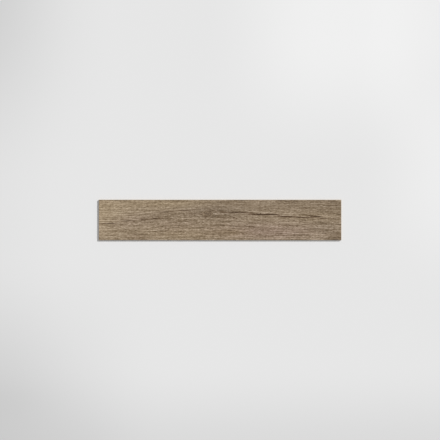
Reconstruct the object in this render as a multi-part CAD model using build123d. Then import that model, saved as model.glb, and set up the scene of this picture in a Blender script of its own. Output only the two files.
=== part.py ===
from build123d import *
import math
import os

# A wood-look porcelain floor plank: one pressed and fired piece, ground square on its four sides.
# It lies on its back, with its face up. The origin is the middle of the back, on the plane of the
# keying ribs. +X runs along the plank, in the direction of the grain, and +Z points out of the face.

# Driving dimensions, in millimetres and degrees
plank_length = 1200.0
plank_width = 200.0
plank_thickness = 9.0

# Arrises left by the grinding wheels: a bevel round the face and a smaller one round the back
face_arris = 0.8
back_arris = 0.4

# Keying relief pressed into the back: shallow cells with raised ribs between them
cell_length = 26.5
cell_width = 26.5
rib_width = 3.0
cell_depth = 0.7
cell_corner = 3.0
cell_draft = 30.0
least_border = 8.0


def cells_each_side(span, pitch):
    """How many cells fit from a centre rib out to the plain border at one edge."""
    room = span / 2 - back_arris - least_border + rib_width / 2
    return math.floor(room / pitch)


def ground_plank():
    """The plank's block, with its arrises bevelled after the four sides are ground."""
    block = Box(
        plank_length,
        plank_width,
        plank_thickness,
        align=(Align.CENTER, Align.CENTER, Align.MIN),
    )
    levels = block.edges().group_by(Axis.Z)
    bevelled = chamfer(levels[-1], face_arris)
    return chamfer(bevelled.edges().group_by(Axis.Z)[0], back_arris)


def keying_cell():
    """One cell of the back relief, narrowing upwards by the draft that lets the punch leave it."""
    mouth = Rectangle(cell_length, cell_width)
    mouth = chamfer(mouth.vertices(), cell_corner)
    return extrude(mouth, amount=cell_depth, taper=cell_draft)


def porcelain_tile():
    """The plank with its pattern of keying cells, and a rib on each centre line of the back."""
    pitch_along = cell_length + rib_width
    pitch_across = cell_width + rib_width
    columns = 2 * cells_each_side(plank_length, pitch_along)
    rows = 2 * cells_each_side(plank_width, pitch_across)
    cell = keying_cell()
    cells = [place * cell for place in GridLocations(pitch_along, pitch_across, columns, rows)]
    return ground_plank() - cells


os.makedirs("parts", exist_ok=True)
tile = porcelain_tile()
export_step(tile, "parts/porcelain_tile.step")
print("solids", len(tile.solids()), "faces", len(tile.faces()), "volume", round(tile.volume))
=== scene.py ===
import math

import bpy
import numpy as np
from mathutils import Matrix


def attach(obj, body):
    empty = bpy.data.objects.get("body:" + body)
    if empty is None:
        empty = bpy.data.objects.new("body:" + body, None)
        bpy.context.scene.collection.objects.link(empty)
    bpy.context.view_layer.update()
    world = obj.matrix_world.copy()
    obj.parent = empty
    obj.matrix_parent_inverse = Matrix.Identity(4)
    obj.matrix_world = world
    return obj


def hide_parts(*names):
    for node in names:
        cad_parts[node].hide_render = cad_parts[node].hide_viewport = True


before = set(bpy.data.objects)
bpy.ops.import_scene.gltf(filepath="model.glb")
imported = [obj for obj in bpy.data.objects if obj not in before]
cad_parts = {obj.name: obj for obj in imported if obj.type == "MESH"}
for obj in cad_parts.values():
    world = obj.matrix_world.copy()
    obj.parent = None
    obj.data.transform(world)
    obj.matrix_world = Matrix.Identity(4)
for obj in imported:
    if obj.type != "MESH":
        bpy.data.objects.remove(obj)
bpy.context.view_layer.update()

# A wood-look porcelain plank, lying on its back on a pale floor. All sizes are in metres.
# The plank is one closed skin: a face that follows the printed grain, a bevelled arris, four
# ground sides, a smaller arris, and a back with its keying cells.

PLANK_LENGTH = 1.200
PLANK_WIDTH = 0.200
PLANK_THICKNESS = 0.009
FACE_ARRIS = 0.0008
BACK_ARRIS = 0.0004
# Two faces that meet at more than this angle show a sharp edge
SHARP_ANGLE = math.radians(38)

FACE_COLUMNS = 540
FACE_ROWS = 150

# The back's keying cells, as the press leaves them
CELL_COLUMNS = 40
CELL_ROWS = 6
CELL_PITCH = 0.0295
CELL_MOUTH = 0.0265
CELL_CORNER = 0.0034
# From the rib down into a cell: how far in from its mouth, and how deep
CELL_INSET = np.array([0.0, 0.0002, 0.00045, 0.00065])
CELL_DEPTH = np.array([0.0, 0.00012, 0.00058, 0.0007])
# The points round one cell, three to each corner
CELL_POINTS = 12

# The face's relief, all of it cut below the wear plane. The last but one is taken off the sum, so
# that its shallowest parts lie on that plane.
RING_SPACING = 0.0074
RING_RELIEF = 0.00013
SWELL_RELIEF = 0.00012
FIBRE_RELIEF = 0.00007
CHECK_RELIEF = 0.00042
KNOT_RELIEF = 0.00018
WEAR_PLANE_RELIEF = 0.00005
DEEPEST_RELIEF = 0.0006

# The arch of the printed grain, whose lines climb towards the knot and fall away after it
ARCH_MIDDLE = -0.060
ARCH_REACH = 0.330
ARCH_LEVEL = 0.015
ARCH_SPREAD = 0.070
ARCH_RISE = 0.030

# The knot, and how far round it the grain parts: further behind it than before it
KNOT_X = -0.064
KNOT_Y = 0.029
KNOT_HALF_LENGTH = 0.030
KNOT_HALF_WIDTH = 0.016
PARTING_BEFORE = 0.060
PARTING_BEHIND = 0.095
PARTING_ACROSS = 0.015

# How far the hills of noise below move things: a grain line in metres, a ring in rings, a check's
# line in metres, and a check's opening and the knot's radius as shares of themselves
GRAIN_WANDER = 0.0020
RING_WANDER = 0.9
FINE_RING_WANDER = 0.28
CHECK_WAVER = 0.0007
CHECK_UNEVENNESS = 0.25
KNOT_RIPPLE = 0.26

# Hills of noise: their size along the plank and across it, a shift along each, and a seed
HILLS = {
    "grain": (0.110, 0.030, 40, 40, 11),
    "ring": (0.260, 0.026, 30, 30, 12),
    "fine ring": (0.070, 0.009, 60, 60, 13),
    "check line": (0.018, 0.030, 20, 20, 14),
    "knot outline": (0.017, 0.010, 50, 50, 15),
    "swell": (0.090, 0.012, 10, 70, 16),
    "fibre": (0.022, 0.0034, 90, 90, 17),
    "check opening": (0.009, 0.050, 25, 25, 18),
}

# Drying checks and dark grain lines: start x and y, end x and y, half width, strength from 0 to 1
CHECKS = np.array([
    (0.004, 0.0372, 0.164, 0.0366, 0.0023, 1.00),
    (0.112, 0.0334, 0.176, 0.0304, 0.0013, 0.35),
    (0.122, 0.0278, 0.316, 0.0264, 0.0036, 1.00),
    (0.216, 0.0274, 0.302, 0.0264, 0.0030, 1.00),
    (0.268, 0.0250, 0.318, 0.0184, 0.0014, 0.55),
    (0.266, 0.0182, 0.386, 0.0160, 0.0028, 0.95),
    (0.344, 0.0138, 0.484, 0.0122, 0.0023, 0.84),
    (0.436, 0.0176, 0.516, 0.0166, 0.0025, 1.00),
    (0.476, 0.0086, 0.540, 0.0074, 0.0023, 0.75),
    (0.505, 0.0072, 0.600, 0.0064, 0.0019, 0.50),
    (-0.600, -0.0172, -0.490, -0.0168, 0.0021, 0.95),
    (-0.510, -0.0068, -0.404, -0.0034, 0.0021, 0.90),
    (-0.408, 0.0026, -0.350, 0.0030, 0.0023, 0.80),
    (-0.352, 0.0070, -0.290, 0.0072, 0.0021, 0.95),
    (-0.312, 0.0370, -0.226, 0.0412, 0.0023, 0.65),
    (-0.220, 0.0470, -0.130, 0.0480, 0.0023, 0.75),
    (-0.026, 0.0418, 0.020, 0.0412, 0.0021, 0.45),
    (0.006, 0.0386, 0.046, 0.0364, 0.0021, 0.40),
    (-0.028, 0.0134, 0.044, 0.0078, 0.0021, 0.65),
    (0.034, 0.0226, 0.100, 0.0010, 0.0021, 0.60),
    (-0.070, 0.0482, -0.020, 0.0462, 0.0020, 0.62),
    (-0.084, 0.0186, -0.052, 0.0166, 0.0020, 0.66),
    (-0.162, 0.0318, -0.092, 0.0304, 0.0020, 0.60),
])
# How sharply a check closes towards its ends
CHECK_TAPER = 1.6

# Broad soft patches of the print: centre x and y, reach along and across, tone, straw, slate, mauve
PATCHES = np.array([
    (-0.620, 0.030, 0.190, 0.130, 0.110, 0.50, 0.00, 0.00),
    (-0.500, 0.042, 0.130, 0.022, 0.045, 0.00, 0.05, 0.00),
    (-0.600, -0.035, 0.040, 0.070, 0.090, 0.00, 0.00, 0.00),
    (-0.480, -0.020, 0.110, 0.030, -0.015, -0.20, 0.10, 0.15),
    (-0.500, 0.092, 0.045, 0.012, -0.055, 0.00, 0.00, 0.00),
    (-0.405, -0.090, 0.060, 0.022, -0.050, 0.00, 0.00, 0.25),
    (-0.350, 0.070, 0.050, 0.030, 0.070, 0.00, 0.00, 0.00),
    (-0.365, -0.054, 0.045, 0.020, 0.055, 0.00, 0.00, 0.00),
    (-0.390, 0.012, 0.100, 0.020, -0.085, 0.00, 0.25, 0.25),
    (-0.265, 0.034, 0.050, 0.018, 0.050, 0.00, 0.00, 0.00),
    (-0.240, -0.030, 0.080, 0.030, -0.035, 0.00, 0.10, 0.25),
    (-0.250, 0.085, 0.230, 0.030, 0.030, 0.45, 0.00, 0.00),
    (-0.150, 0.066, 0.090, 0.020, 0.070, 0.00, 0.10, 0.00),
    (-0.190, -0.070, 0.230, 0.036, 0.010, 0.35, 0.00, 0.00),
    (-0.095, 0.004, 0.060, 0.018, -0.060, 0.00, 0.00, 0.00),
    (-0.060, -0.050, 0.070, 0.016, -0.050, 0.00, 0.00, 0.00),
    (-0.020, 0.045, 0.150, 0.036, -0.080, 0.00, 0.85, 0.20),
    (-0.016, 0.034, 0.014, 0.007, 0.120, 0.00, 0.00, 0.00),
    (0.010, 0.092, 0.060, 0.018, -0.060, 0.00, 0.10, 0.05),
    (0.060, -0.062, 0.060, 0.014, -0.010, 0.45, 0.00, 0.00),
    (0.090, -0.045, 0.330, 0.034, 0.030, 0.00, 0.10, 0.20),
    (0.120, -0.020, 0.110, 0.024, -0.080, 0.00, 0.10, 0.00),
    (0.240, -0.010, 0.150, 0.026, 0.055, 0.00, 0.00, 0.00),
    (0.260, -0.060, 0.220, 0.040, 0.000, 0.00, 0.45, 0.85),
    (0.300, 0.036, 0.070, 0.016, 0.050, 0.00, 0.00, 0.00),
    (0.340, 0.094, 0.100, 0.016, -0.045, 0.00, 0.00, 0.00),
    (0.385, -0.058, 0.060, 0.020, 0.045, 0.00, 0.00, 0.00),
    (0.470, 0.012, 0.110, 0.026, -0.025, 0.25, 0.00, 0.00),
    (0.470, 0.090, 0.300, 0.040, -0.055, 0.00, 0.20, 0.00),
    (0.540, 0.014, 0.060, 0.014, 0.080, 0.00, 0.00, 0.00),
    (0.560, 0.060, 0.090, 0.026, -0.085, 0.00, 0.00, 0.00),
    (0.520, -0.036, 0.080, 0.036, -0.060, 0.00, 0.50, 0.00),
    (0.570, -0.094, 0.060, 0.020, -0.120, 0.00, 0.10, 0.10),
])

# The bake map: the margin at both ends, the share of the width that an end of the plank takes, and
# where each strip starts and how high it is
BAKE_MARGIN = 0.004
BAKE_END_SHARE = 0.480
BAKE_FACE = (0.400, 0.594)
BAKE_BACK = (0.088, 0.300)
BAKE_ENDS = (0.058, 0.018)
BAKE_REAR = (0.031, 0.018)
BAKE_FRONT = (0.004, 0.018)

# The three finishes, by their place in the plank's list of materials
PRINTED, GROUND, UNGLAZED = range(3)


def soft_noise(a, b, seed):
    """Smooth hills between -1 and 1: a seeded random height at each whole number of a and b, joined
    between them by the smooth step 3t^2 - 2t^3 in each direction."""
    heights = np.random.default_rng(seed).uniform(-1, 1, (256, 256))
    i = np.floor(a).astype(int)
    j = np.floor(b).astype(int)
    s = a - i
    t = b - j
    s = s * s * (3 - 2 * s)
    t = t * t * (3 - 2 * t)
    i, j, i_next, j_next = i % 256, j % 256, (i + 1) % 256, (j + 1) % 256
    near = heights[i, j] * (1 - s) + heights[i_next, j] * s
    far = heights[i, j_next] * (1 - s) + heights[i_next, j_next] * s
    return near * (1 - t) + far * t


def hills(x, y, name):
    """The named hills of noise: soft noise on x and y, each over the hills' size plus their shift."""
    size_along, size_across, shift_along, shift_across, seed = HILLS[name]
    return soft_noise(x / size_along + shift_along, y / size_across + shift_across, seed)


def bell(distance, reach):
    """The bell exp(-(distance / reach)^2)."""
    return np.exp(-(distance / reach) ** 2)


def across_grain(x, y):
    """Where a point lies across the grain. It is y, less an arch that is a bell along the plank times
    a bell across it, less the parting round the knot, (y - KNOT_Y) / (1 + r^2), where r is the
    distance from the knot in an ellipse, less a slow wander of noise. A line of the grain is where
    this stays the same."""
    arch = ARCH_RISE * bell(x - ARCH_MIDDLE, ARCH_REACH) * bell(y - ARCH_LEVEL, ARCH_SPREAD)
    reach = np.where(x < KNOT_X, PARTING_BEFORE, PARTING_BEHIND)
    r_squared = ((x - KNOT_X) / reach) ** 2 + ((y - KNOT_Y) / PARTING_ACROSS) ** 2
    parting = (y - KNOT_Y) / (1 + r_squared)
    return y - arch - parting - GRAIN_WANDER * hills(x, y, "grain")


def ring_phase(x, across):
    """The count of growth rings up to a point: its place across the grain over the ring spacing, with
    the spacing drawn out and in by two sizes of noise that are long along the plank."""
    wander = RING_WANDER * hills(x, across, "ring")
    return across / RING_SPACING + wander + FINE_RING_WANDER * hills(x, across, "fine ring")


def check_field(x, y):
    """How far inside a check a point is: the greatest of strength * opening - (d / w)^2 over all the
    checks, where t runs from -1 to 1 along one, the opening is (1 - t^2)^1.6 with a slow unevenness, d
    is the distance from its wavering line and w its half width. Past an end the opening is 0, and how
    far t is past it comes off too, up to 1. The field is 0 on a check's outline, which tapers to both
    ends, and nowhere below -1."""
    best = np.full(x.shape, -1.0)
    uneven = 1 + CHECK_UNEVENNESS * hills(x, y, "check opening")
    waver = CHECK_WAVER * hills(x, y, "check line")
    for x0, y0, x1, y1, half_width, strength in CHECKS:
        half_length = math.hypot(x1 - x0, y1 - y0) / 2
        run = np.array([x1 - x0, y1 - y0]) / (2 * half_length)
        u = x - (x0 + x1) / 2
        v = y - (y0 + y1) / 2
        t = (u * run[0] + v * run[1]) / half_length
        d = (v * run[0] - u * run[1] + waver) / half_width
        opening = np.clip(1 - t * t, 0, 1) ** CHECK_TAPER * uneven
        best = np.maximum(best, strength * opening - d * d - np.clip(np.abs(t) - 1, 0, 1))
    return best


def knot_radius(x, y):
    """The distance from the knot's centre, 1 on its outline: an ellipse with a slow ripple."""
    ripple = 1 + KNOT_RIPPLE * hills(x, y, "knot outline")
    return np.hypot((x - KNOT_X) / KNOT_HALF_LENGTH, (y - KNOT_Y) / KNOT_HALF_WIDTH) * ripple


def print_patches(x, y):
    """The print's broad tone and its three tints, straw, slate and mauve: for each, the sum over the
    patches of its amount times a bell along the plank and a bell across it."""
    totals = np.zeros((4, *x.shape))
    for centre_x, centre_y, reach_x, reach_y, *amounts in PATCHES:
        patch = bell(x - centre_x, reach_x) * bell(y - centre_y, reach_y)
        totals += np.array(amounts)[:, None] * patch
    return totals[0], totals[1:]


def face_relief(x, y):
    """How far the face lies below its wear plane: a cosine trough for each growth ring, two sizes of
    swell stretched along the grain, the checks, and a dish at the knot, which is a bell of its radius
    times 0.6 plus 0.4 of a cosine that makes rings in it. They are added up, less what puts the
    shallowest parts on the plane, and held between 0 and the deepest relief."""
    across = across_grain(x, y)
    radius = knot_radius(x, y)
    total = RING_RELIEF * (0.5 - 0.5 * np.cos(2 * np.pi * ring_phase(x, across)))
    total = total + SWELL_RELIEF * (0.5 + 0.5 * hills(x, across, "swell"))
    total = total + FIBRE_RELIEF * (0.5 + 0.5 * hills(x, across, "fibre"))
    total = total + CHECK_RELIEF * np.clip(check_field(x, y), 0, 1)
    total = total + KNOT_RELIEF * bell(radius, 0.9) * (0.6 + 0.4 * np.cos(9 * radius))
    return np.clip(total - WEAR_PLANE_RELIEF, 0, DEEPEST_RELIEF)


def grid_quads(ids):
    """The quads of a grid of point numbers, anticlockwise where its columns run along x and its rows
    along y."""
    return np.stack([ids[:-1, :-1], ids[:-1, 1:], ids[1:, 1:], ids[1:, :-1]], -1).reshape(-1, 4)


def grid_outline(ids):
    """The points on the outline of such a grid, anticlockwise from its first point."""
    return np.concatenate([ids[0, :-1], ids[:-1, -1], ids[-1, :0:-1], ids[:0:-1, 0]])


def face_grid():
    """The face: a grid over the rectangle inside the arris, with columns along x and rows along y, at
    the wear plane less the relief. It returns the points, the quads and the rim."""
    xs = np.linspace(-0.5, 0.5, FACE_COLUMNS + 1) * (PLANK_LENGTH - 2 * FACE_ARRIS)
    ys = np.linspace(-0.5, 0.5, FACE_ROWS + 1) * (PLANK_WIDTH - 2 * FACE_ARRIS)
    x, y = (part.ravel() for part in np.meshgrid(xs, ys))
    points = np.column_stack([x, y, PLANK_THICKNESS - face_relief(x, y)])
    ids = np.arange(len(points)).reshape(FACE_ROWS + 1, FACE_COLUMNS + 1)
    return points, grid_quads(ids), grid_outline(ids)


def rim_rings(rim_points):
    """The rings below the face's rim: the same points stretched to each ring's own rectangle, which is
    inset by 0, 0 and the back arris, at the foot of the face arris, the head of the back arris and
    the back."""
    insets = (0.0, 0.0, BACK_ARRIS)
    levels = (PLANK_THICKNESS - FACE_ARRIS, BACK_ARRIS, 0.0)
    half = np.array([PLANK_LENGTH, PLANK_WIDTH]) / 2
    rings = []
    for inset, level in zip(insets, levels):
        outline = rim_points[:, :2] * (half - inset) / (half - FACE_ARRIS)
        rings.append(np.column_stack([outline, np.full(len(outline), level)]))
    return np.concatenate(rings)


def lap_position(points):
    """How far round its rectangle each point is: 0 to 1 along the front, then 1 to 2 up the right end,
    2 to 3 back along the rear and 3 to 4 down the left end."""
    x, y = (points[:, :2] / np.abs(points[:, :2]).max(0)).T
    edge = 1 - 1e-9
    side = np.select([y <= -edge, x >= edge, y >= edge], [0, 1, 2], 3)
    along = np.select([side == 0, side == 1, side == 2], [x, y, -x], -y)
    return side + (along + 1) / 2


def zip_loops(outer, outer_points, inner, inner_points):
    """The triangles between two loops round the same centre, as a zip closes: the points of both are
    taken in order of their lap, and each closes a triangle with the last point of the other loop."""
    outer_lap = np.append(lap_position(outer_points)[1:], 4.0)
    inner_lap = np.append(lap_position(inner_points)[1:], 4.0)
    order = np.argsort(np.concatenate([outer_lap, inner_lap]), kind="stable")
    takes_outer = order < len(outer)
    i = np.cumsum(takes_outer) - takes_outer
    j = np.cumsum(~takes_outer) - ~takes_outer
    outer = np.append(outer, outer[0])
    inner = np.append(inner, inner[0])
    next_outer = outer[np.minimum(i + 1, len(outer) - 1)]
    next_inner = inner[np.minimum(j + 1, len(inner) - 1)]
    return np.column_stack([outer[i], inner[j], np.where(takes_outer, next_outer, next_inner)])


def rounded_square(half, radius):
    """The points round a square with rounded corners, anticlockwise from above: three to a corner, at
    0, 45 and 90 degrees of its arc."""
    angle = np.radians(np.arange(4)[:, None] * 90 + np.array([0, 45, 90]))
    corner = np.radians(np.arange(4) * 90 + 45)[:, None]
    x = (half - radius) * np.sign(np.cos(corner)) + radius * np.cos(angle)
    y = (half - radius) * np.sign(np.sin(corner)) + radius * np.sin(angle)
    return np.column_stack([x.ravel(), y.ravel()])


def cell_rings():
    """One cell round its own middle: a rounded square for each inset, at that inset's depth."""
    rings = []
    for inset, depth in zip(CELL_INSET, CELL_DEPTH):
        outline = rounded_square(CELL_MOUTH / 2 - inset, CELL_CORNER - inset)
        rings.append(np.column_stack([outline, np.full(CELL_POINTS, depth)]))
    return np.concatenate(rings)


def back_cells(first):
    """The back's ribs and cells, numbered from first: a lattice of square corners on the rib plane,
    and in each square four rounded rings that go in and up to the cell's floor. It returns the points,
    the faces by their number of corners, and the lattice's outline."""
    columns = (np.arange(CELL_COLUMNS + 1) - CELL_COLUMNS / 2) * CELL_PITCH
    rows = (np.arange(CELL_ROWS + 1) - CELL_ROWS / 2) * CELL_PITCH
    x, y = (part.ravel() for part in np.meshgrid(columns, rows))
    lattice = np.column_stack([x, y, np.zeros(len(x))])
    ids = np.arange(len(x)).reshape(CELL_ROWS + 1, CELL_COLUMNS + 1)

    rings = cell_rings()
    centres = (lattice[ids[:-1, :-1]] + lattice[ids[1:, 1:]]).reshape(-1, 1, 3) / 2
    points = np.concatenate([lattice, (centres + rings).reshape(-1, 3)])
    starts = len(lattice) + np.arange(CELL_COLUMNS * CELL_ROWS) * len(rings)
    mouth = starts[:, None] + np.arange(CELL_POINTS)
    next_mouth = np.roll(mouth, -1, 1)

    # Round each mouth: two triangles at every corner of its square, and a quad along every side.
    # A square's corners start at its far right, as a rounded square's do.
    corners = np.roll(grid_quads(ids), -2, 1)
    fans = [np.stack([corners, mouth[:, step::3], mouth[:, step + 1::3]], -1) for step in (0, 1)]
    ribs = np.stack([corners, mouth[:, 2::3], next_mouth[:, 2::3], np.roll(corners, -1, 1)], -1)
    # Inside it: a quad between each two neighbouring points of a ring and of the next one
    steps = CELL_POINTS * np.arange(len(CELL_DEPTH))
    walls = [
        np.stack([mouth + step, mouth + deeper, next_mouth + deeper, next_mouth + step], -1)
        for step, deeper in zip(steps, steps[1:])
    ]
    floors = (mouth + steps[-1])[:, ::-1]

    triangles = np.concatenate(fans).reshape(-1, 3)
    quads = np.concatenate([group.reshape(-1, 4) for group in (ribs, *walls)])
    return points, triangles + first, quads + first, floors + first, grid_outline(ids) + first


def lay_flat(points, finish, normals):
    """The bake map's place for each corner of the faces, from its point, finish and face normal. The
    face lies above, the back below it, and the four sides are strips at the foot, each seen from
    outside."""
    along = points[:, 0] / PLANK_LENGTH + 0.5
    across = points[:, 1] / PLANK_WIDTH + 0.5
    up = points[:, 2] / PLANK_THICKNESS
    wide = BAKE_MARGIN + (1 - 2 * BAKE_MARGIN) * along
    end = BAKE_MARGIN + BAKE_END_SHARE * across

    nx, ny, _ = normals.T
    on_end = np.abs(nx) > np.abs(ny)
    picks = [finish == PRINTED, finish == UNGLAZED, on_end & (nx > 0), on_end, ny > 0]
    u = np.select(picks, [wide, 1 - wide, end, 1 - end, 1 - wide], wide)
    strips = (BAKE_FACE, BAKE_BACK, BAKE_ENDS, BAKE_ENDS, BAKE_REAR, BAKE_FRONT)
    heights = (across, across, up, up, up, up)
    *rows, front = [start + size * height for (start, size), height in zip(strips, heights)]
    return np.column_stack([u, np.select(picks, rows, front)])


def field_of(items, name, kind, width=1):
    """One field of all of a mesh's faces or corners, as one row of numbers, width of them to each."""
    found = np.empty(len(items) * width, kind)
    items.foreach_get(name, found)
    return found


def store(mesh, name, values):
    """Keeps one number or three for each point, as an attribute that the finishes read."""
    kind, field = ("FLOAT", "value") if values.ndim == 1 else ("FLOAT_VECTOR", "vector")
    kept = mesh.attributes.new(name, kind, "POINT")
    kept.data.foreach_set(field, values.astype(np.float32).ravel())


def plank_mesh():
    """The whole skin of the plank, with its three finishes by face, its bake map, and the print's
    coordinates and masks on its points."""
    face_points, face_quads, rim = face_grid()
    rings = rim_rings(face_points[rim])
    loops = [rim, *(len(face_points) + np.arange(len(rings)).reshape(-1, len(rim)))]
    bands = np.concatenate([
        np.stack([upper, lower, np.roll(lower, -1), np.roll(upper, -1)], -1)
        for upper, lower in zip(loops, loops[1:])
    ])
    first_cell = len(face_points) + len(rings)
    cell_points, fans, ribs_and_walls, floors, outline = back_cells(first_cell)
    points = np.concatenate([face_points, rings, cell_points])
    border = zip_loops(loops[-1], points[loops[-1]], outline, points[outline])

    back = [border, fans, ribs_and_walls, floors]
    groups = [face_quads, bands, *back]
    finish = np.repeat([PRINTED, GROUND, *[UNGLAZED] * len(back)], [len(group) for group in groups])
    mesh = bpy.data.meshes.new("wood_look_plank")
    mesh.from_pydata(points.tolist(), [], [face for group in groups for face in group.tolist()])
    mesh.polygons.foreach_set("material_index", finish.astype(np.int32))
    mesh.shade_smooth()
    mesh.set_sharp_from_angle(angle=SHARP_ANGLE)

    corner_points = points[field_of(mesh.loops, "vertex_index", np.int32)]
    sizes = field_of(mesh.polygons, "loop_total", np.int32)
    normals = field_of(mesh.polygons, "normal", np.float32, 3).reshape(-1, 3)
    flat = lay_flat(corner_points, np.repeat(finish, sizes), np.repeat(normals, sizes, 0))
    layer = mesh.uv_layers.new(name="OFBake")
    layer.data.foreach_set("uv", flat.astype(np.float32).ravel())

    x, y = points[:, 0], points[:, 1]
    across = across_grain(x, y)
    tone, tints = print_patches(x, y)
    store(mesh, "grain", np.column_stack([x, across, ring_phase(x, across)]))
    store(mesh, "tints", tints.T)
    store(mesh, "print_tone", tone)
    store(mesh, "checks", check_field(x, y))
    store(mesh, "knot", knot_radius(x, y))
    return mesh


# Steps that the finishes share

def srgb(red, green, blue):
    """A colour as the shaders take it, from its 0 to 255 values on a screen."""
    values = np.array([red, green, blue]) / 255
    linear = np.where(values <= 0.04045, values / 12.92, ((values + 0.055) / 1.055) ** 2.4)
    return (*linear.tolist(), 1.0)


def put(tree, kind, inputs=(), **settings):
    """A node with its settings, and a value or a link for each of its named or numbered inputs."""
    made = tree.nodes.new(kind)
    for name, value in settings.items():
        setattr(made, name, value)
    for name, value in dict(inputs).items():
        if isinstance(value, bpy.types.NodeSocket):
            tree.links.new(value, made.inputs[name])
        else:
            made.inputs[name].default_value = value
    return made


def calc(tree, operation, *values):
    """One arithmetic step on numbers."""
    return put(tree, "ShaderNodeMath", enumerate(values), operation=operation).outputs[0]


def centred(tree, value):
    """A value from 0 to 1, moved to lie round 0."""
    return calc(tree, "SUBTRACT", value, 0.5)


def weighted(tree, value, *layers):
    """A value plus each layer times its amount."""
    for layer, amount in layers:
        value = calc(tree, "MULTIPLY_ADD", layer, amount, value)
    return value


def spread(tree, value, low, high, to_low=0.0, to_high=1.0, kind="LINEAR"):
    """A value's range from low to high, carried over to another range and held inside it."""
    limits = {"Value": value, "From Min": low, "From Max": high, "To Min": to_low, "To Max": to_high}
    return put(tree, "ShaderNodeMapRange", limits, interpolation_type=kind, clamp=True).outputs[0]


def smooth(tree, value, low, high, to_low=0.0, to_high=1.0):
    """The same as spread, but eased at both ends by a smooth step."""
    return spread(tree, value, low, high, to_low, to_high, "SMOOTHSTEP")


def tinted(tree, amount, under, over, mode="MIX"):
    """The colour over laid on the colour under, by an amount from 0 to 1. The node has sockets for
    each kind of value: 6 and 7, and the output 2, are those for colours."""
    inputs = {0: amount, 6: under, 7: over}
    return put(tree, "ShaderNodeMix", inputs, data_type="RGBA", blend_type=mode).outputs[2]


def colour_scale(tree, value, stops):
    """The colour at a value, between stops of (value, colour)."""
    made = put(tree, "ShaderNodeValToRGB", {0: value})
    scale = made.color_ramp.elements
    while len(scale) < len(stops):
        scale.new(0.5)
    for element, (place, colour) in zip(scale, stops):
        element.position = place
        element.color = colour
    return made.outputs[0]


def split(tree, vector):
    """The three numbers of a vector."""
    return put(tree, "ShaderNodeSeparateXYZ", {0: vector}).outputs


def join(tree, x, y, z=0.0):
    """The vector of three numbers."""
    return put(tree, "ShaderNodeCombineXYZ", {0: x, 1: y, 2: z}).outputs[0]


def object_place(tree):
    """The place of a point on its own piece."""
    return put(tree, "ShaderNodeTexCoord").outputs["Object"]


def attribute(tree, name, kind="Fac"):
    """One of the mesh's attributes: a number, or a vector where kind is Vector."""
    return put(tree, "ShaderNodeAttribute", attribute_name=name).outputs[kind]


def stretched(tree, place, run, width, layer=0.0):
    """A place divided by a run along x and a width across it, with the number of its layer as z."""
    x, y, _ = split(tree, place)
    return join(tree, calc(tree, "DIVIDE", x, run), calc(tree, "DIVIDE", y, width), layer)


def cloudy(tree, place, detail, roughness=0.5, scale=1.0):
    """Noise from 0 to 1."""
    inputs = {"Vector": place, "Scale": scale, "Detail": detail, "Roughness": roughness}
    return put(tree, "ShaderNodeTexNoise", inputs).outputs[0]


def bumped(tree, height, strength, distance):
    """The normal where the surface rises by that distance for each 1 of height."""
    inputs = {"Strength": strength, "Distance": distance, "Height": height}
    return put(tree, "ShaderNodeBump", inputs).outputs[0]


def group_of(name, inputs, outputs):
    """An empty effect with its named inputs, each with a kind and a starting value, and its outputs."""
    tree = bpy.data.node_groups.new(name, "ShaderNodeTree")
    for title, (kind, value) in inputs.items():
        socket = tree.interface.new_socket(title, in_out="INPUT", socket_type=kind)
        if value is not None:
            socket.default_value = value
    for title, kind in outputs.items():
        tree.interface.new_socket(title, in_out="OUTPUT", socket_type=kind)
    return tree, tree.nodes.new("NodeGroupInput").outputs, tree.nodes.new("NodeGroupOutput").inputs


# How far the streaks' noise is turned, in radians, so that its own rows don't line up with the plank
STREAK_TURN = 0.6


def lengthwise_streaks():
    """Streaks that run along x: noise on the place divided by the streaks' run and width, and then
    turned. The noise's range is drawn in at both ends by 0.20 plus 0.26 times the sharpness, so that
    more of a sharper layer is quite dark or quite light."""
    tree, given, result = group_of(
        "lengthwise_streaks",
        {
            "Place": ("NodeSocketVector", None),
            "Run": ("NodeSocketFloat", 0.05),
            "Width": ("NodeSocketFloat", 0.002),
            "Layer": ("NodeSocketFloat", 0.0),
            "Sharpness": ("NodeSocketFloat", 0.5),
        },
        {"Streak": "NodeSocketFloat"},
    )
    place = stretched(tree, given["Place"], given["Run"], given["Width"], given["Layer"])
    turned = {"Vector": place, "Angle": STREAK_TURN}
    place = put(tree, "ShaderNodeVectorRotate", turned, rotation_type="Z_AXIS").outputs[0]
    low = calc(tree, "MULTIPLY_ADD", given["Sharpness"], 0.26, 0.20)
    high = calc(tree, "SUBTRACT", 1.0, low)
    noise = cloudy(tree, place, detail=2.0, roughness=0.55)
    tree.links.new(spread(tree, noise, low, high), result["Streak"])
    return tree


def body_speckle():
    """The grains of a fired body: cells of noise in space, each with its own shade."""
    tree, given, result = group_of(
        "body_speckle",
        {
            "Place": ("NodeSocketVector", None),
            "Size": ("NodeSocketFloat", 0.0006),
            "Share": ("NodeSocketFloat", 0.2),
        },
        {"Dark": "NodeSocketFloat", "Shade": "NodeSocketFloat"},
    )
    finer = calc(tree, "DIVIDE", 1.0, given["Size"])
    cells = put(tree, "ShaderNodeTexVoronoi", {"Vector": given["Place"], "Scale": finer}, feature="F1")
    shade = put(tree, "ShaderNodeSeparateColor", {0: cells.outputs["Color"]}).outputs[0]
    tree.links.new(calc(tree, "LESS_THAN", shade, given["Share"]), result["Dark"])
    tree.links.new(shade, result["Shade"])
    return tree


STREAKS = lengthwise_streaks()
SPECKLE = body_speckle()


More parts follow.
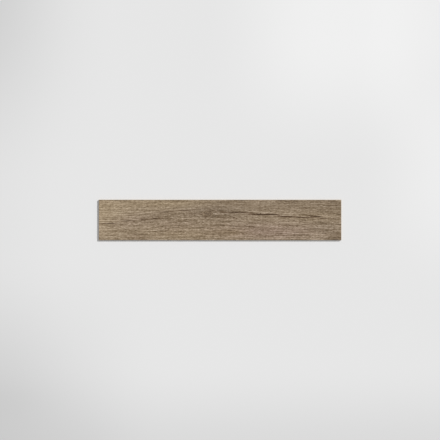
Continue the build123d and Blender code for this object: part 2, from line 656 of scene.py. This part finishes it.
def streaks(tree, place, run, width, layer, sharpness=0.5):
    """The streaks of one layer, from 0 to 1. Each layer has its own number, and so its own noise."""
    inputs = {"Place": place, "Run": run, "Width": width, "Layer": layer, "Sharpness": sharpness}
    return put(tree, "ShaderNodeGroup", inputs, node_tree=STREAKS).outputs[0]


def grains(tree, place, size, share):
    """The body's grains: whether each is one of the dark share, and its shade from 0 to 1."""
    inputs = {"Place": place, "Size": size, "Share": share}
    made = put(tree, "ShaderNodeGroup", inputs, node_tree=SPECKLE).outputs
    return made["Dark"], made["Shade"]


def ray_flecks(tree, place, run, width):
    """Lens-shaped flecks, light or dark from -1 to 1, as oak's rays show: cells stretched along the
    grain, each with its own random shade that fades towards its outline."""
    inputs = {"Vector": stretched(tree, place, run, width), "Scale": 1.0}
    kind = "ShaderNodeTexVoronoi"
    cells = put(tree, kind, inputs, voronoi_dimensions="2D").outputs["Color"]
    edges = put(tree, kind, inputs, voronoi_dimensions="2D", feature="DISTANCE_TO_EDGE").outputs[0]
    shade = put(tree, "ShaderNodeSeparateColor", {0: cells}).outputs[0]
    lens = smooth(tree, edges, 0.02, 0.34)
    return calc(tree, "MULTIPLY", lens, spread(tree, shade, 0.0, 1.0, -1.0, 1.0))


def grain_hairlines(tree, place, run, width, thinness):
    """Thin dark lines along the grain, from 0 to 1: where stretched noise crosses its middle value,
    kept only where a second noise is high, so that they come and go."""
    noise = cloudy(tree, stretched(tree, place, run, width, 9.0), detail=3.0, roughness=0.6)
    off_middle = calc(tree, "ABSOLUTE", centred(tree, noise))
    line = smooth(tree, off_middle, 0.0, thinness, 1.0, 0.0)
    shown = streaks(tree, place, run=0.050, width=0.0060, layer=10.0)
    return calc(tree, "MULTIPLY", line, spread(tree, shown, 0.45, 0.75))


def new_finish(name, sheen=0.3):
    """An empty material and its Principled shader, matt as a fired body is."""
    material = bpy.data.materials.new(name)
    material.use_nodes = True
    tree = material.node_tree
    tree.nodes.clear()
    shader = tree.nodes.new("ShaderNodeBsdfPrincipled")
    output = tree.nodes.new("ShaderNodeOutputMaterial")
    tree.links.new(shader.outputs[0], output.inputs[0])
    shader.inputs["Specular IOR Level"].default_value = sheen
    return material, tree, shader.inputs


# The printed and glazed face

# The streaks of the print: run along the grain, width across it, layer number, sharpness, and how
# much of the tone they carry
GRAIN_LAYERS = {
    "bands": (0.300, 0.0140, 1.0, 0.5, 0.10),
    "strands": (0.090, 0.0030, 2.0, 0.5, 0.36),
    "wisps": (0.014, 0.0028, 3.0, 0.5, 0.40),
    "threads": (0.200, 0.0048, 11.0, 0.6, 0.34),
    "fibres": (0.060, 0.0006, 4.0, 0.7, 0.18),
}
# The tone of plain timber, on the scale of its colours
MIDDLE_TONE = 0.560
TIMBER_COLOURS = [
    (0.00, srgb(56, 37, 17)),
    (0.25, srgb(107, 88, 64)),
    (0.40, srgb(127, 109, 86)),
    (0.50, srgb(140, 122, 100)),
    (0.60, srgb(153, 135, 113)),
    (0.75, srgb(173, 154, 132)),
    (1.00, srgb(203, 186, 164)),
]
KNOT_COLOURS = [(0.15, srgb(76, 57, 39)), (0.50, srgb(112, 93, 71)), (0.85, srgb(147, 128, 105))]
KNOT_HEART = srgb(64, 44, 26)
CHECK_STAIN = srgb(86, 60, 32)
CHECK_DARK = srgb(27, 12, 0)
CHECK_FIBRES = srgb(64, 41, 16)
# The patches' tints, each of which dims the timber's colour a little: straw, slate and mauve
TINTS = (srgb(255, 252, 232), srgb(247, 250, 255), srgb(255, 248, 254))


def growth_rings(tree, phase, bands):
    """Growth rings, from 0 to 1: the shade deepens along each ring and ends at a crisp line, and is
    fainter where the bands are low."""
    in_ring = calc(tree, "FRACT", phase)
    late_wood = smooth(tree, in_ring, 0.45, 0.94)
    early_wood = smooth(tree, in_ring, 0.94, 1.0, 1.0, 0.0)
    ring = calc(tree, "MULTIPLY", late_wood, early_wood)
    return calc(tree, "MULTIPLY", ring, spread(tree, bands, 0.1, 0.9, 0.25, 1.0))


def plain_timber(tree, layers, ring, hairlines, grain):
    """The timber before its knot and checks: the print's tone plus each layer times its amount, as a
    colour, with the tints of its patches laid over it."""
    flecks = ray_flecks(tree, grain, run=0.013, width=0.0030)
    pores = spread(tree, streaks(tree, grain, run=0.0065, width=0.0005, layer=12.0), 0.60, 0.85)
    pores = calc(tree, "MULTIPLY", pores, spread(tree, layers["threads"], 0.30, 0.75, 0.25, 1.0))
    tone = calc(tree, "ADD", attribute(tree, "print_tone"), MIDDLE_TONE)
    for name, (*_, amount) in GRAIN_LAYERS.items():
        tone = weighted(tree, tone, (centred(tree, layers[name]), amount))
    tone = weighted(tree, tone, (flecks, 0.20), (pores, -0.36), (ring, -0.10), (hairlines, -0.24))

    timber = colour_scale(tree, tone, TIMBER_COLOURS)
    for amount, tint in zip(split(tree, attribute(tree, "tints", "Vector")), TINTS):
        timber = tinted(tree, amount, timber, tint, "MULTIPLY")
    return timber


def with_knot(tree, timber):
    """The timber with its knot: fine grain wrapped round a dark heart, seen where the distance from
    the knot's centre is small. The grain is streaks on that distance and on the angle round it, which
    is given by its cosine and its sine, so that it has no seam."""
    radius = attribute(tree, "knot")
    x, y, _ = split(tree, object_place(tree))
    u = calc(tree, "DIVIDE", calc(tree, "SUBTRACT", x, KNOT_X), KNOT_HALF_LENGTH)
    v = calc(tree, "DIVIDE", calc(tree, "SUBTRACT", y, KNOT_Y), KNOT_HALF_WIDTH)
    angle = calc(tree, "ARCTAN2", v, u)
    round_it = join(tree, calc(tree, "COSINE", angle), radius)
    other_way = calc(tree, "MULTIPLY_ADD", calc(tree, "SINE", angle), 1.2, 30.0)
    swirl = streaks(tree, round_it, run=0.83, width=0.15, layer=other_way)
    ragged = weighted(tree, radius, (centred(tree, swirl), 0.40))
    in_knot = smooth(tree, ragged, 0.66, 1.34, 0.85, 0.0)
    in_heart = smooth(tree, ragged, 0.10, 0.62, 0.45, 0.0)
    timber = tinted(tree, in_knot, timber, colour_scale(tree, swirl, KNOT_COLOURS))
    return tinted(tree, in_heart, timber, KNOT_HEART)


def with_checks(tree, timber, fibres, grain):
    """The timber with its checks: a brown stain round a dark opening, both frayed by splinters along
    the grain. It returns the opening too, from 0 to 1."""
    splinters = streaks(tree, grain, run=0.018, width=0.0008, layer=8.0, sharpness=0.7)
    ragged = weighted(tree, attribute(tree, "checks"), (centred(tree, splinters), 0.60))
    stained = smooth(tree, ragged, -0.30, 0.22, 0.0, 0.88)
    opened = smooth(tree, ragged, 0.22, 0.62, 0.0, 0.92)
    timber = tinted(tree, stained, timber, CHECK_STAIN)
    return tinted(tree, opened, timber, tinted(tree, fibres, CHECK_DARK, CHECK_FIBRES)), opened


def printed_face():
    """The printed and glazed face: weathered timber in grey browns, with a matt glaze."""
    material, tree, shader = new_finish("printed_timber_glaze")
    grain = attribute(tree, "grain", "Vector")
    layers = {name: streaks(tree, grain, *row[:-1]) for name, row in GRAIN_LAYERS.items()}
    ring = growth_rings(tree, split(tree, grain)[2], layers["bands"])
    hairlines = grain_hairlines(tree, grain, run=0.200, width=0.0046, thinness=0.022)
    strands, fibres = layers["strands"], layers["fibres"]

    timber = plain_timber(tree, layers, ring, hairlines, grain)
    timber, opened = with_checks(tree, with_knot(tree, timber), fibres, grain)
    tree.links.new(timber, shader["Base Color"])
    roughness = weighted(tree, spread(tree, strands, 0.0, 1.0, 0.56, 0.70), (opened, 0.2))
    tree.links.new(roughness, shader["Roughness"])
    height = weighted(tree, calc(tree, "MULTIPLY", fibres, 0.45), (strands, 0.55), (ring, 0.35))
    height = weighted(tree, height, (hairlines, -0.50), (opened, -1.6))
    tree.links.new(bumped(tree, height, 1.0, 0.00016), shader["Normal"])
    return material


# The ground sides and the back

# The height at which each thin layer over the body starts, and is full
ENGOBE_LEVELS = (0.00826, 0.00834)
PRINT_LEVELS = (0.00850, 0.00858)
# How far the wheel lines move those levels
LEVEL_WAVER = 0.00008
# The height at which the kiln wash starts to thin as a cell's wall rises, and is gone
WASH_LEVELS = (0.00008, 0.00030)


def ground_edge():
    """The ground sides and arrises: the body with its grains, cut by wheels that run along the side,
    under a thin pale engobe and the brown of the print at the very top."""
    material, tree, shader = new_finish("ground_porcelain_edge")
    place = object_place(tree)
    x, y, z = split(tree, place)
    unrolled = join(tree, calc(tree, "ADD", x, y), z)
    wheel_lines = streaks(tree, unrolled, run=0.060, width=0.00022, layer=5.0, sharpness=0.4)
    dark, shade = grains(tree, place, size=0.0005, share=0.12)

    body = tinted(tree, shade, srgb(170, 154, 134), srgb(186, 171, 151))
    body = tinted(tree, calc(tree, "MULTIPLY", dark, 0.55), body, srgb(120, 104, 88))
    body = tinted(tree, spread(tree, wheel_lines, 0.2, 0.8, 0.0, 0.22), body, srgb(205, 194, 178))
    wavering = weighted(tree, z, (centred(tree, wheel_lines), LEVEL_WAVER))
    body = tinted(tree, spread(tree, wavering, *ENGOBE_LEVELS, 0.0, 0.85), body, srgb(214, 204, 188))
    body = tinted(tree, spread(tree, wavering, *PRINT_LEVELS), body, srgb(112, 95, 79))
    tree.links.new(body, shader["Base Color"])
    tree.links.new(spread(tree, wheel_lines, 0.0, 1.0, 0.48, 0.66), shader["Roughness"])
    height = weighted(tree, wheel_lines, (shade, 0.3))
    tree.links.new(bumped(tree, height, 0.6, 0.00004), shader["Normal"])
    return material


def pressed_back():
    """The unglazed back: the body with its grains, darker in the cells, and a pale kiln wash on the
    ribs that the rollers have streaked."""
    material, tree, shader = new_finish("unglazed_back")
    place = object_place(tree)
    z = split(tree, place)[2]
    roller_marks = streaks(tree, place, run=0.260, width=0.0120, layer=6.0, sharpness=0.3)
    scuffs = streaks(tree, place, run=0.0060, width=0.0036, layer=7.0, sharpness=0.1)
    clouds = cloudy(tree, place, detail=3.0, scale=14.0)
    dark, shade = grains(tree, place, size=0.0006, share=0.14)

    body = tinted(tree, shade, srgb(160, 143, 123), srgb(176, 160, 140))
    body = tinted(tree, spread(tree, clouds, 0.35, 0.65, 0.0, 0.35), body, srgb(142, 125, 106))
    body = tinted(tree, calc(tree, "MULTIPLY", dark, 0.5), body, srgb(116, 100, 84))
    wash = spread(tree, z, *WASH_LEVELS, 1.0, 0.0)
    wash = calc(tree, "MULTIPLY", wash, spread(tree, roller_marks, 0.2, 0.8, 0.45, 0.85))
    wash = calc(tree, "MULTIPLY", wash, spread(tree, scuffs, 0.1, 0.8, 0.45, 1.0))
    body = tinted(tree, wash, body, srgb(226, 220, 208))
    tree.links.new(body, shader["Base Color"])
    tree.links.new(spread(tree, clouds, 0.3, 0.7, 0.72, 0.88), shader["Roughness"])
    height = weighted(tree, scuffs, (shade, 0.5))
    tree.links.new(bumped(tree, height, 0.8, 0.00008), shader["Normal"])
    return material


plank = bpy.data.objects.new("wood_look_plank", plank_mesh())
bpy.context.scene.collection.objects.link(plank)
for finish in (printed_face(), ground_edge(), pressed_back()):
    plank.data.materials.append(finish)
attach(plank, "root")
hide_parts("porcelain_tile")

# The floor, the light and the camera

FLOOR_HALF = 8.0
# The hole under the plank, through which a camera below the floor sees its back
HOLE_HALF = (0.599, 0.099)
# The floor's middle shade on a screen of 256 levels, and how many levels make 1 on its scale
FLOOR_GREY = 231
GREY_LEVELS = 100
# Painted light and shade on the floor: lighter and darker stretches of its grey that stand in for how
# the light falls off. For each, the x where it starts and is full, the same for y, and by how many
# levels. A start of 9 is off the floor, so that row is the same all along it. All of them fade out
# again between the two distances from the middle given below.
FLOOR_PAINTED_SHADING = (
    (-0.50, -1.30, 0.10, 1.20, -21),
    (-0.25, -1.15, -0.15, -0.95, -19),
    (9.00, 8.50, -0.70, -1.20, -14),
    (-0.70, -1.25, 9.00, 8.50, -5),
    (-0.10, 0.50, 0.25, 0.90, 9),
    (0.65, 1.15, -0.45, 0.20, 7),
    (0.75, 1.15, 0.30, 0.80, -9),
    (-0.60, -1.10, -0.85, -1.10, 7),
)
PAINTED_SHADING_FADE = (1.9, 5.0)

SKY_STRENGTH = 0.44
SUN_STRENGTH = 3.04
SUN_WIDTH = math.radians(7)
# The direction in which the sun stands: at the right, behind the plank and high
SUN_FROM = (10.4, 7.6, 9.0)

# The width of the view at the height of the face, its middle, and the camera's lens in millimetres
FRAME_WIDTH = 2.177
VIEW_MIDDLE = (-0.0005, -0.0003)
LENS = 100.0
SENSOR = 36.0


def floor_mesh():
    """A grid of flat quads, six points each way, that is open in the middle, under the plank."""
    columns, rows = (
        np.array([-FLOOR_HALF, -FLOOR_HALF / 2, -half, half, FLOOR_HALF / 2, FLOOR_HALF])
        for half in HOLE_HALF
    )
    x, y = (part.ravel() for part in np.meshgrid(columns, rows))
    quads = grid_quads(np.arange(len(x)).reshape(len(rows), len(columns)))
    quads = np.delete(quads, len(quads) // 2, axis=0)
    mesh = bpy.data.meshes.new("studio_floor")
    mesh.from_pydata(np.column_stack([x, y, np.zeros(len(x))]).tolist(), [], quads.tolist())
    return mesh


def floor_painted_light_and_shade():
    """The floor's matt grey, which can't be seen from below, with painted light and shade on it. Its
    shade is the middle one plus the sum of the painted changes of light and shade, each times a smooth
    step along x and one along y, and all times a smooth step that fades them out."""
    material, tree, shader = new_finish("floor_painted_light_and_shade", 0.0)
    x, y, _ = split(tree, object_place(tree))
    # Painted light and shade: each row lightens or darkens the grey where the light would gather or fall
    # off
    painted_shading = 0.0
    for x_start, x_full, y_start, y_full, levels in FLOOR_PAINTED_SHADING:
        along = smooth(tree, x, x_start, x_full)
        across = smooth(tree, y, y_start, y_full)
        painted_shading = weighted(tree, painted_shading, (calc(tree, "MULTIPLY", along, across), levels / GREY_LEVELS))
    from_middle = calc(tree, "MULTIPLY_ADD", x, x, calc(tree, "MULTIPLY", y, y))
    from_middle = calc(tree, "SQRT", from_middle)
    near = smooth(tree, from_middle, *PAINTED_SHADING_FADE, 1.0, 0.0)
    shade = calc(tree, "MULTIPLY_ADD", painted_shading, near, 0.5)
    pale = colour_scale(tree, shade, [
        (0.5 + (grey - FLOOR_GREY) / GREY_LEVELS, srgb(grey, grey, grey)) for grey in (181, 206, 231, 255)
    ])
    tree.links.new(pale, shader["Base Color"])
    shader["Roughness"].default_value = 0.9
    surface = tree.nodes["Principled BSDF"].outputs[0]
    clear = put(tree, "ShaderNodeBsdfTransparent").outputs[0]
    from_below = put(tree, "ShaderNodeNewGeometry").outputs["Backfacing"]
    seen = put(tree, "ShaderNodeMixShader", {0: from_below, 1: surface, 2: clear}).outputs[0]
    tree.links.new(seen, tree.nodes["Material Output"].inputs[0])
    return material


studio_floor = bpy.data.objects.new("studio_floor", floor_mesh())
bpy.context.scene.collection.objects.link(studio_floor)
studio_floor.data.materials.append(floor_painted_light_and_shade())

# The world lights the plank softly, and shows the camera and any reflection the floor's own grey
world = bpy.data.worlds.new("studio_light")
bpy.context.scene.world = world
world.use_nodes = True
sky = world.node_tree
sky.nodes.clear()
white = {"Color": srgb(255, 255, 255), "Strength": SKY_STRENGTH}
pale = {"Color": srgb(FLOOR_GREY, FLOOR_GREY, FLOOR_GREY), "Strength": 1.0}
soft_light = put(sky, "ShaderNodeBackground", white).outputs[0]
backdrop = put(sky, "ShaderNodeBackground", pale).outputs[0]
ray = put(sky, "ShaderNodeLightPath").outputs
shows = calc(sky, "MAXIMUM", ray["Is Camera Ray"], ray["Is Glossy Ray"])
shows = calc(sky, "MAXIMUM", shows, ray["Is Transmission Ray"])
surround = put(sky, "ShaderNodeMixShader", {0: shows, 1: soft_light, 2: backdrop}).outputs[0]
put(sky, "ShaderNodeOutputWorld", {0: surround})

lamp = bpy.data.lights.new("window_light", "SUN")
lamp.energy = SUN_STRENGTH
lamp.angle = SUN_WIDTH
window = bpy.data.objects.new("window_light", lamp)
sun_x, sun_y, sun_z = SUN_FROM
window.rotation_euler = (math.atan2(math.hypot(sun_x, sun_y), sun_z), 0.0, math.atan2(sun_x, -sun_y))
bpy.context.scene.collection.objects.link(window)

lens = bpy.data.cameras.new("overhead")
lens.lens = LENS
lens.sensor_width = SENSOR
lens.clip_end = 100.0
overhead = bpy.data.objects.new("overhead", lens)
overhead.location = (*VIEW_MIDDLE, PLANK_THICKNESS + FRAME_WIDTH * LENS / SENSOR)
bpy.context.scene.collection.objects.link(overhead)
bpy.context.scene.camera = overhead
bpy.context.scene.view_settings.view_transform = "Standard"

bpy.context.view_layer.update()
